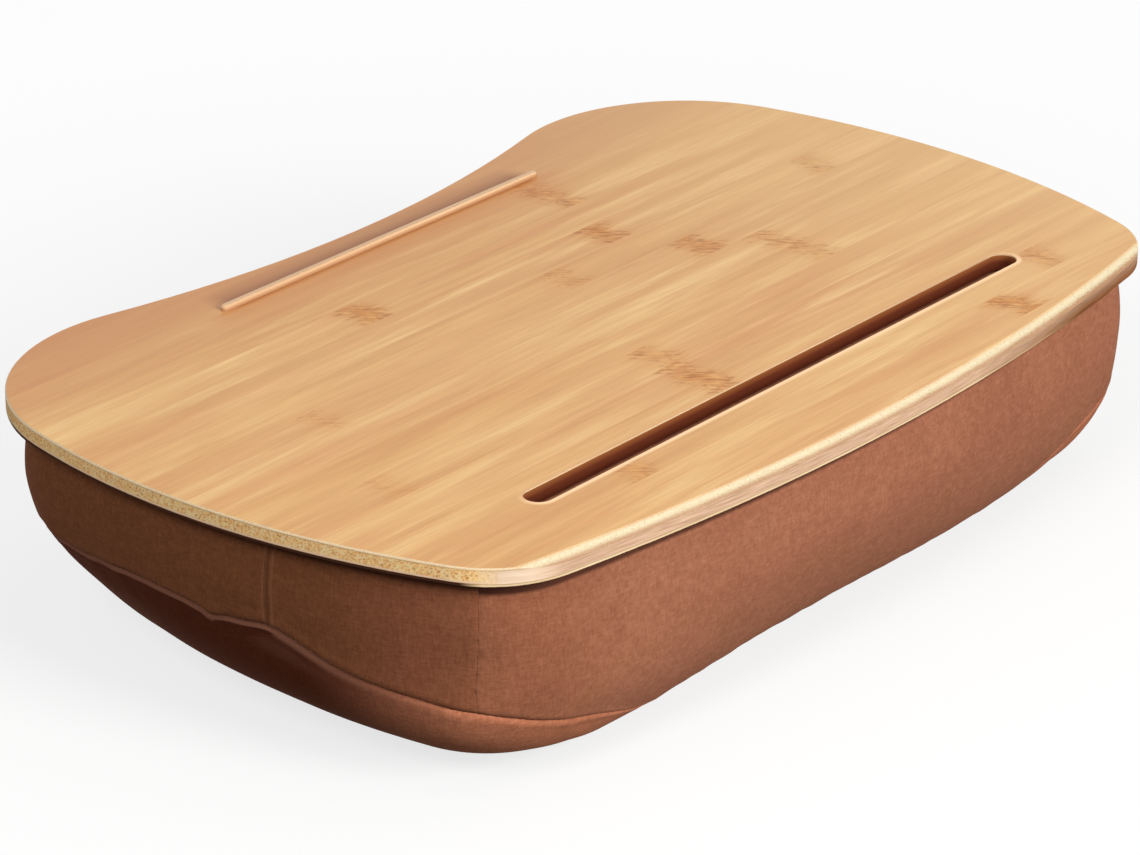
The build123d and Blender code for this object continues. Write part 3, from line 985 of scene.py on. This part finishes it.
def microfibre(name, tone, corner_tone, turn, shadow, seam_lines=False, rolled=False):
    """Brushed brown microfibre: mottled nap, fine fibre, soft edge light, painted shadow under the
    board.

    The colours are multiplied by tone, and past the turn by corner_tone, as painted shade and painted
    light.
    """
    shade = Shade(name)
    axis, start, full = turn
    turned = shade.spread(getattr(shade, axis), start, full, smooth=True)

    # The cloth's colour darkened or lightened as painted shade and painted light
    def shaded_tone(value):
        far, near = (
            tuple(v * t for v, t in zip(value, lighting)) + (1.0,) for lighting in (tone, corner_tone)
        )
        return shade.mix(turned, far, near)

    cloud = shade.noise(22.0, 4.0, 0.6)
    mottle = shade.noise(210.0, 4.0, 0.75)
    upright = shade.grain((950.0, 950.0, 260.0), 2.0, 0.6)
    level = shade.grain((260.0, 260.0, 1050.0), 2.0, 0.6)
    hatch = shade.times(shade.plus(upright, level), 0.5)
    moved = shade.mapped(shade.place, Location=(0.3, 0.7, 0.2))
    layers = {"drift": shade.noise(34.0, 3.0, 0.6, moved), "mottle": mottle, "hatch": hatch}
    base = shade.mix(shade.spread(cloud, 0.3, 0.7), shaded_tone(NAP_DARK), shaded_tone(NAP_LIGHT))
    for noise, start, full, strength, value in NAP_LAYERS:
        base = shade.tint(base, shaded_tone(value), layers[noise], start, full, strength)
    if seam_lines:
        base = end_seam_lines(shade, base, shaded_tone(SEAM_HIGHLIGHT), shaded_tone(SEAM_CREASE_SHADE))
    if rolled:
        lit = shade.spread(shade.normal[2], *ROLL_FACING_REACH, 0.0, 0.8)
        base = shade.mix(shade.times(lit, shade.minus(1.0, turned)), base, ROLL_TONE)
    under = shade.spread(shade.z, *shadow, 0.0, 0.8)
    under = shade.times(under, shade.spread(shade.normal[2], 0.7, 0.5))
    base = shade.mix(under, base, SHADOW_TONE)
    fuzz = shade.noise(2200.0, 2.0, 0.7)
    height = shade.plus(shade.times(hatch, 0.5), shade.times(fuzz, 0.5))
    normal = shade.bump(height, 0.35, 0.0004, Normal=shade.bump(mottle, 0.12, 0.0008))
    return shade.finish(
        base, 0.92, Normal=normal, Specular_IOR_Level=0.08, Sheen_Weight=0.08, Sheen_Roughness=0.45,
        Sheen_Tint=SHEEN_TINT,
    )


def cover_materials():
    """One cloth, darkened as painted shade on the ends, underneath and at the front's corner, and
    lightened as painted light underneath towards the front.
    """
    front = microfibre("brown_microfibre", PLAIN_NAP, FRONT_CORNER_SHADE, FRONT_TURN, FRONT_SHADOW)
    ends = microfibre(
        "brown_microfibre_shaded_ends", END_SHADE, END_CORNER_SHADE, END_TURN, END_SHADOW, seam_lines=True)
    under = microfibre(
        "brown_microfibre_shaded_under", UNDER_SHADE, UNDER_CORNER_LIGHT, END_TURN, END_SHADOW, rolled=True)
    return {
        "top_panel": front, "front_boxing": front,
        "rear_boxing": ends, "right_boxing": ends, "left_boxing": ends,
        "bottom_panel": under,
    }


def thread():
    shade = Shade("seam_thread")
    ply = shade.noise(2400.0, 2.0, 0.5)
    base = shade.mix(ply, colour(84, 44, 32), colour(112, 64, 48))
    return shade.finish(base, 0.8, Normal=shade.bump(ply, 0.4, 0.0002), Specular_IOR_Level=0.2)


def tape():
    """Hook-and-loop tape: rows of small hooks seen as a fine grid."""
    shade = Shade("fastener_tape")
    hooks = shade.cells(900.0)
    weave = shade.noise(700.0, 3.0, 0.6)
    base = shade.mix(shade.spread(hooks, 0.1, 0.5), colour(30, 27, 26), colour(58, 52, 49))
    base = shade.tint(base, colour(22, 20, 20), weave, 0.4, 0.7, 0.4)
    return shade.finish(base, 0.75, Normal=shade.bump(hooks, 0.6, 0.0006))


# Pieces of the cushion

def smooth_piece(name, points, faces, material):
    piece = mesh_object(name, points, faces)
    for polygon in piece.data.polygons:
        polygon.use_smooth = True
    piece.data.materials.append(material)
    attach(piece, "root")
    return piece


def cloth_panel(name, points, faces, material, *nodes):
    """A cloth panel: its outer face as given, with its thickness inside."""
    used = sorted({v for face in faces for v in face})
    index = {v: i for i, v in enumerate(used)}
    faces = [tuple(index[v] for v in face) for face in faces]
    piece = smooth_piece(name, points[used], faces, material)
    solid = piece.modifiers.new("thickness", "SOLIDIFY")
    solid.thickness = CLOTH_THICKNESS
    solid.offset = -1.0
    solid.use_even_offset = False
    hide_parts(*nodes)


def make_cover(materials):
    """The six panels of the cover. Returns the grid of its points and where the seams are."""
    points, seam_row, seam_columns = cover_grid()
    rows, columns = points.shape[:2]
    end_right, corner_right, corner_left, end_left = seam_columns
    flat = points.reshape(-1, 3)

    sides = {
        "right_boxing": (end_right, corner_right),
        "front_boxing": (corner_right, corner_left),
        "left_boxing": (corner_left, end_left),
        "rear_boxing": (end_left, end_right),
    }
    for node, (start, stop) in sides.items():
        faces = grid_faces(columns, 0, seam_row, start, stop)
        cloth_panel("cloth_" + node, flat, faces, materials[node], node)

    middle = np.array([0.0, flat[(rows - 1) * columns:, 1].mean(), 0.0])
    rings = [middle + (points[-1] - middle) * share for share in REST_RINGS]
    under = np.concatenate([flat] + rings)
    last = rows - 1 + len(REST_RINGS)
    faces = grid_faces(columns, seam_row, last) + [row_points(columns, last)]
    material = materials["bottom_panel"]
    cloth_panel("cloth_bottom_panel", under, faces, material, "bottom_panel", "cushion_fill")

    rim = points[0]
    centre = np.array([0.0, rim[:, 1].mean(), rim[:, 2].mean()])
    lid = np.concatenate([centre + (rim - centre) * share for share in LID_RINGS])
    last = len(LID_RINGS) - 1
    faces = grid_faces(columns, 0, last) + [row_points(columns, last)]
    cloth_panel("cloth_top_panel", lid, faces, materials["top_panel"], "top_panel")
    return points, seam_row, seam_columns


# Stitches: pitch, length and radius along the lower seam and down the corner seams
LOWER_STITCH = (0.0036, 0.0019, 0.00026)
CORNER_STITCH = (0.0078, 0.0014, 0.0002)
CORNER_TOP = 0.080
STITCH_AHEAD = 0.0005
STITCH_SIDES = 6
# Rings of one stitch: place as a share of its length, radius as a share of the thread's
STITCH_RINGS = ((-0.5, 0.35), (-0.36, 0.9), (0.0, 1.0), (0.36, 0.9), (0.5, 0.35))


def stitch_row(name, path, outward, material, size):
    """A row of short raised threads along a path."""
    pitch, length, radius = size
    steps = np.linalg.norm(np.diff(path, axis=0), axis=1)
    running = np.concatenate([[0.0], np.cumsum(steps)])

    def read(line, place):
        return np.array([np.interp(place, running, line[:, k]) for k in range(3)])

    last = len(STITCH_RINGS) - 1
    one = grid_faces(STITCH_SIDES, 0, last)
    one += [row_points(STITCH_SIDES, 0), row_points(STITCH_SIDES, last)[::-1]]
    points, faces = [], []
    for place in (np.arange(int(running[-1] / pitch)) + 0.5) * pitch:
        middle = read(path, place)
        ahead = read(path, place + STITCH_AHEAD)
        up = read(outward, place)
        along = (ahead - middle) / (np.linalg.norm(ahead - middle) + TINY)
        up = up - along * np.dot(up, along)
        up /= np.linalg.norm(up) + TINY
        side = np.cross(along, up)
        first = len(points)
        for offset, share in STITCH_RINGS:
            centre = middle + along * offset * length
            for k in range(STITCH_SIDES):
                turn = 2 * math.pi * k / STITCH_SIDES
                points.append(centre + radius * share * (math.cos(turn) * up + math.sin(turn) * side))
        faces += [tuple(first + v for v in face) for face in one]
    piece = smooth_piece(name, np.array(points), faces, material)


def make_stitches(points, seam_row, seam_columns, material):
    normals = grid_normals(points)
    closed = list(range(points.shape[1])) + [0]
    path, outward = (values[seam_row][closed] for values in (points, normals))
    stitch_row("stitches_lower_seam", path, outward, material, LOWER_STITCH)
    for name, column in zip(("corner_right", "corner_left"), seam_columns[1:3]):
        first = int(np.argmax(points[:, column, 2] < CORNER_TOP))
        path, outward = (values[first:seam_row - 1, column] for values in (points, normals))
        stitch_row("stitches_" + name, path, outward, material, CORNER_STITCH)


# Board

def dress_board():
    top, core, ledge, strips = bamboo_top(), bamboo_edge(), bamboo_ledge(), tape()
    materials = {
        "top_veneer": top, "core_board": core, "bottom_veneer": core, "stop_ledge": ledge,
        "hook_strips": strips, "loop_strips": strips,
    }
    for node, material in materials.items():
        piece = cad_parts[node]
        piece.data.materials.clear()
        piece.data.materials.append(material)


# Studio

FLOOR_SIZE = 8.0
FLOOR_CLEARANCE = 0.0002
FLOOR_WHITE = 0.94
FLOOR_SHADE = 0.99
FLOOR_BOUNCE = 0.10
# The floor's own light for the camera, near the object and far from it, and the distances
FLOOR_GLOW = (0.75, 0.94)
FLOOR_REACH = (0.30, 0.70)
WORLD_LIGHT = 0.28
# Lamps: place, size, power, tint
LAMPS = {
    "key": ((0.0, 2.4, 1.25), 1.2, 65.0, (1.0, 0.985, 0.96)),
    "fill": ((-0.6, 0.6, 2.8), 2.4, 11.0, (1.0, 1.0, 1.0)),
    "side": ((2.0, 0.45, 1.75), 0.9, 24.0, (1.0, 1.0, 1.0)),
}
LAMP_TARGET = Vector((0, 0, 0.06))


def floor_paper():
    """White paper for the camera, and grey for the light that it throws back on the object."""
    shade = Shade("floor_paper")
    fibres = shade.noise(3.0, 2.0, 0.5)
    white = shade.mix(fibres, grey(FLOOR_WHITE), grey(FLOOR_WHITE * FLOOR_SHADE))
    seen = shade.looked_at()
    base = shade.mix(seen, grey(FLOOR_BOUNCE), white)
    material = shade.finish(base, 0.9, Specular_IOR_Level=0.0)
    glow = shade.spread(shade.distance(shade.x, shade.y), *FLOOR_REACH, *FLOOR_GLOW, smooth=True)
    paper = shade.tree.nodes["Principled BSDF"].outputs[0]
    light = shade.node("Emission", {}).outputs[0]
    blend = shade.node("MixShader", {0: shade.times(seen, glow), 1: paper, 2: light})
    shade.feed(shade.tree.nodes["Material Output"], {"Surface": blend.outputs[0]})
    return material


def make_floor():
    corners = FLOOR_SIZE / 2 * np.array([(-1, -1, 0), (1, -1, 0), (1, 1, 0), (-1, 1, 0)])
    corners[:, 2] = -FLOOR_CLEARANCE
    floor = mesh_object("floor", corners, [(0, 1, 2, 3)])
    floor.data.materials.append(floor_paper())


def make_lights():
    for name, (place, size, power, tint) in LAMPS.items():
        data = bpy.data.lights.new(name, "AREA")
        data.shape = "DISK"
        data.size = size
        data.energy = power
        data.color = tint
        lamp = bpy.data.objects.new(name, data)
        lamp.location = place
        lamp.rotation_euler = (LAMP_TARGET - Vector(place)).to_track_quat("-Z", "Y").to_euler()
        bpy.context.scene.collection.objects.link(lamp)


def make_world():
    """White where the camera looks, and a weak light on the object."""
    world = bpy.data.worlds.new("studio")
    world.use_nodes = True
    sky = Nodes(world.node_tree)
    strength = sky.spread(sky.looked_at(), 0.0, 1.0, WORLD_LIGHT, 1.0)
    sky.feed(sky.tree.nodes["Background"], {"Color": grey(1.0), "Strength": strength})
    bpy.context.scene.world = world


def make_camera():
    data = bpy.data.cameras.new("camera")
    data.sensor_width = SENSOR_WIDTH
    data.lens = FOCAL_PIXELS / PICTURE_WIDTH * SENSOR_WIDTH
    data.clip_end = CLIP_END
    camera = bpy.data.objects.new("camera", data)
    away = Vector((
        math.sin(VIEW_AZIMUTH) * math.cos(VIEW_ELEVATION),
        -math.cos(VIEW_AZIMUTH) * math.cos(VIEW_ELEVATION),
        math.sin(VIEW_ELEVATION),
    ))
    camera.location = VIEW_TARGET + away * VIEW_DISTANCE
    camera.rotation_euler = away.to_track_quat("Z", "Y").to_euler()
    bpy.context.scene.collection.objects.link(camera)
    bpy.context.scene.camera = camera


bpy.context.scene.view_settings.view_transform = "Standard"
dress_board()
grid, lower_seam_row, upright_columns = make_cover(cover_materials())
make_stitches(grid, lower_seam_row, upright_columns, thread())
make_floor()
make_lights()
make_world()
make_camera()
